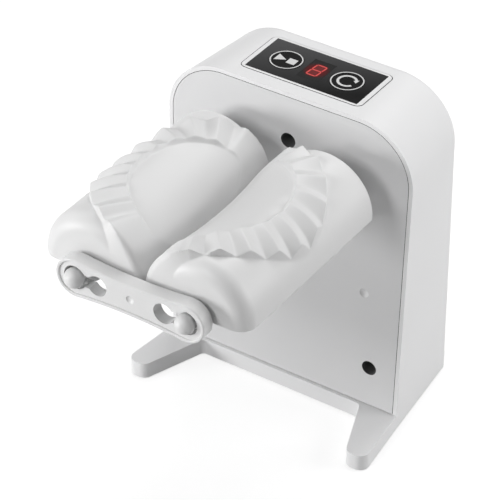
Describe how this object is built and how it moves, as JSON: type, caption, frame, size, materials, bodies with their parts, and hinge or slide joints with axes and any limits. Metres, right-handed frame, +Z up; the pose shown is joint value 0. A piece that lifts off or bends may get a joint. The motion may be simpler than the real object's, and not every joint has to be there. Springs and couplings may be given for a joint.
{
  "type": "electric dumpling maker",
  "caption": "Table-top dumpling maker: upright housing with a touch panel on top, half-barrel crimping moulds on powered shafts, a ball-and-keyhole link bar and splayed feet.",
  "frame": {"origin": "centre of the footprint, on the surface that the pads stand on", "axes": "+Z up, +Y towards the rear cover, so the moulds reach along -Y; +X to the right of someone facing the moulds"},
  "size_m": [0.153, 0.2136, 0.1907],
  "materials": {
    "housing_plastic": "satin white ABS",
    "mould_plastic": "smooth white ABS",
    "label": "glossy black label",
    "button_cap": "glossy black with a thin pale ring",
    "display_window": "smoked window",
    "display_face": "dark red seven-segment module",
    "circuit_board": "green solder mask",
    "switch_body": "black key switches",
    "gear_plastic": "natural acetal",
    "bush_plastic": "acetal bushes",
    "steel": "plated steel",
    "motor_metal": "zinc-plated can",
    "frame_plastic": "grey inner frame",
    "rubber": "soft pale pads",
    "cell_wrap": "shrink-wrapped cells"
  },
  "bodies": {
    "housing": {"base_plate": "housing_plastic", "base_screws": "steel", "battery_cells": "cell_wrap", "battery_tray": "frame_plastic", "board_screws": "steel", "charge_port": "steel", "charging_board": "circuit_board", "control_bezel": "housing_plastic", "control_board": "circuit_board", "control_label": "label", "display_module": "display_face", "display_window": "display_window", "foot_pads": "rubber", "frame_screws": "steel", "front_bush_left": "bush_plastic", "front_bush_right": "bush_plastic", "front_panel": "housing_plastic", "gear_frame": "frame_plastic", "housing_shell": "housing_plastic", "idler_pins": "steel", "key_switches": "switch_body", "link_bar": "mould_plastic", "motor": "motor_metal", "motor_gearbox": "motor_metal", "motor_screws": "steel", "panel_screws": "steel", "rear_bush_left": "bush_plastic", "rear_bush_right": "bush_plastic", "rear_cover": "housing_plastic"},
    "right_drive": {"mould_right": "mould_plastic", "drive_shaft_right": "steel", "drive_gear_right": "gear_plastic"},
    "left_drive": {"mould_left": "mould_plastic", "drive_shaft_left": "steel", "drive_gear_left": "gear_plastic"},
    "idler_right": {"idler_gear_right": "gear_plastic"},
    "idler_left": {"idler_gear_left": "gear_plastic"},
    "motor_drive": {"motor_pinion": "gear_plastic", "motor_shaft": "steel"},
    "left_key": {"button_left": "button_cap"},
    "right_key": {"button_right": "button_cap"}
  },
  "joints": [
    {"name": "right_mould_turn", "type": "hinge", "parent": "housing", "child": "right_drive", "pos_m": [0.03265, 0, 0.1468], "axis": [0, -1, 0], "continuous": true},
    {"name": "left_mould_turn", "type": "hinge", "parent": "housing", "child": "left_drive", "pos_m": [-0.03265, 0, 0.1468], "axis": [0, -1, 0], "continuous": true},
    {"name": "idler_right_turn", "type": "hinge", "parent": "housing", "child": "idler_right", "pos_m": [0.00879, 0, 0.1468], "axis": [0, -1, 0], "continuous": true},
    {"name": "idler_left_turn", "type": "hinge", "parent": "housing", "child": "idler_left", "pos_m": [-0.00879, 0, 0.1468], "axis": [0, -1, 0], "continuous": true},
    {"name": "motor_turn", "type": "hinge", "parent": "housing", "child": "motor_drive", "pos_m": [0.02072, 0, 0.12614], "axis": [0, -1, 0], "continuous": true},
    {"name": "left_key_press", "type": "slide", "parent": "housing", "child": "left_key", "axis": [0, 0, -1], "range_m": [0, 0.0005], "stiffness_N_per_m": 400},
    {"name": "right_key_press", "type": "slide", "parent": "housing", "child": "right_key", "axis": [0, 0, -1], "range_m": [0, 0.0005], "stiffness_N_per_m": 400}
  ],
  "couplings": [
    {"joint": "left_mould_turn", "follows": "right_mould_turn", "ratio": -1},
    {"joint": "idler_right_turn", "follows": "right_mould_turn", "ratio": -1.7143},
    {"joint": "idler_left_turn", "follows": "right_mould_turn", "ratio": 1.7143},
    {"joint": "motor_turn", "follows": "right_mould_turn", "ratio": -1.7143}
  ]
}
